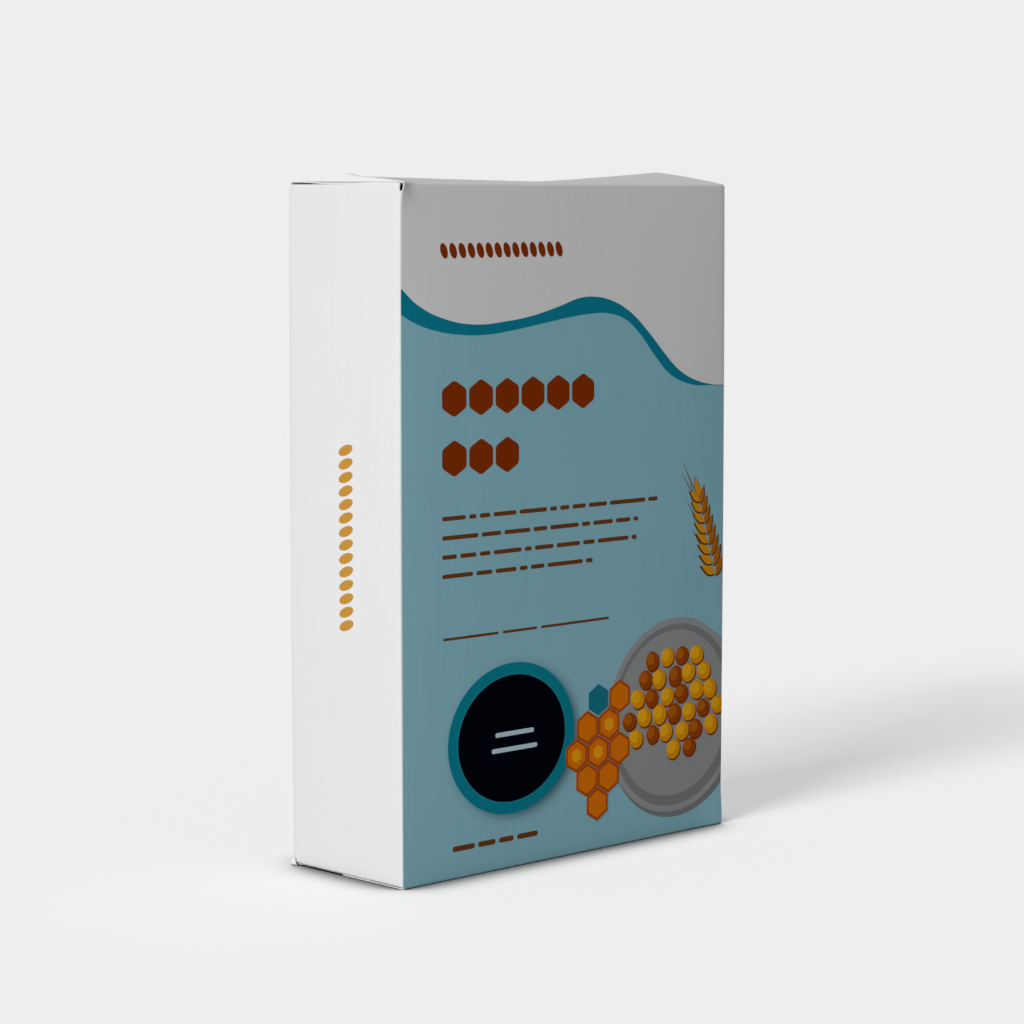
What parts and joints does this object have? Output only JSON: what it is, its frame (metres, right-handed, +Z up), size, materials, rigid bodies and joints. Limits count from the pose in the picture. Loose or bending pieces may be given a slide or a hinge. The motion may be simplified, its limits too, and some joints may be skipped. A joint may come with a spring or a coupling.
{
  "type": "cereal box",
  "caption": "Shut upright paperboard cereal carton with crowned panels, folded end flaps and a sprung top flap with a centre tongue.",
  "frame": {"origin": "bottom centre of the pack, on the outer bottom flap that it stands on", "axes": "+X to the right along the wide front panel, +Y from the front panel to the back panel, +Z up along the pack's height"},
  "size_m": [0.195, 0.0714, 0.2918],
  "materials": {
    "paperboard": "satin coated white board"
  },
  "bodies": {
    "root": {"carton": "paperboard"}
  },
  "joints": []
}
